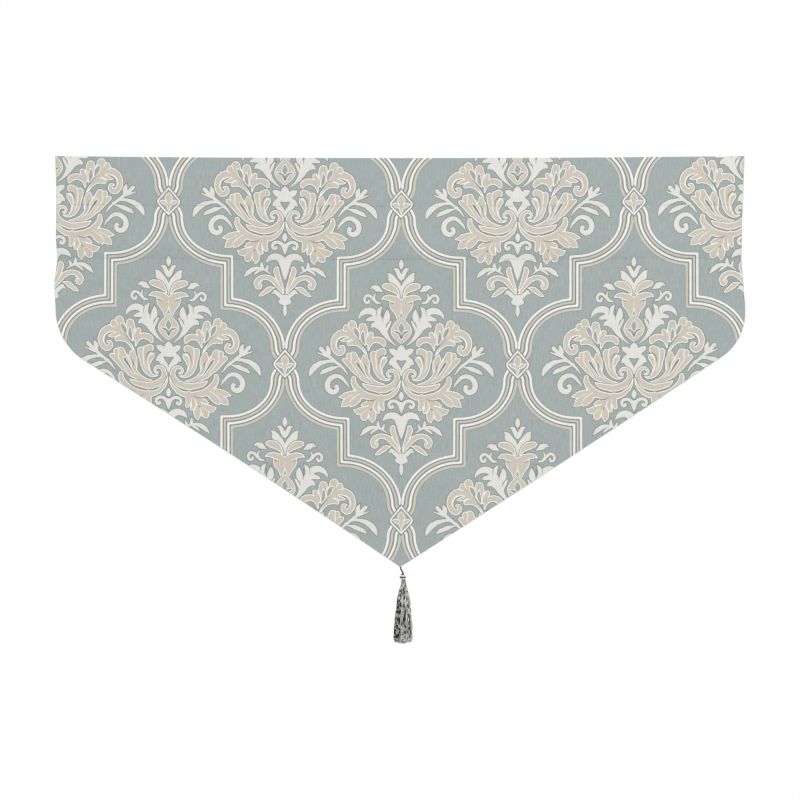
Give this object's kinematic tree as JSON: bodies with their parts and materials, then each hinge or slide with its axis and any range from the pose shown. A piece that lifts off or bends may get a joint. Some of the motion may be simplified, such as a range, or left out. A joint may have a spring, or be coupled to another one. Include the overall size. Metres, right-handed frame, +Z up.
{
  "type": "ascot valance",
  "caption": "Flat window valance with a V-pointed hem, woven damask face, header, rod pocket across its back and a thread tassel hanging at the point.",
  "frame": {"origin": "middle of the cloth's top edge", "axes": "+X runs to the right as seen from the front, -Y is the way the patterned face looks, +Y is towards the wall, +Z is up"},
  "size_m": [1.2718, 0.0366, 0.8987],
  "materials": {
    "jacquard_cloth": "woven damask, matt dusty teal ground with off-white and beige yarns",
    "twisted_cord": "two-ply twisted grey cord",
    "silver_thread": "lustrous silver-grey rayon thread"
  },
  "bodies": {
    "root": {"face_cloth": "jacquard_cloth", "rod_pocket_back": "jacquard_cloth", "tassel_cord": "twisted_cord", "tassel_head": "silver_thread", "tassel_skirt": "silver_thread"}
  },
  "joints": []
}
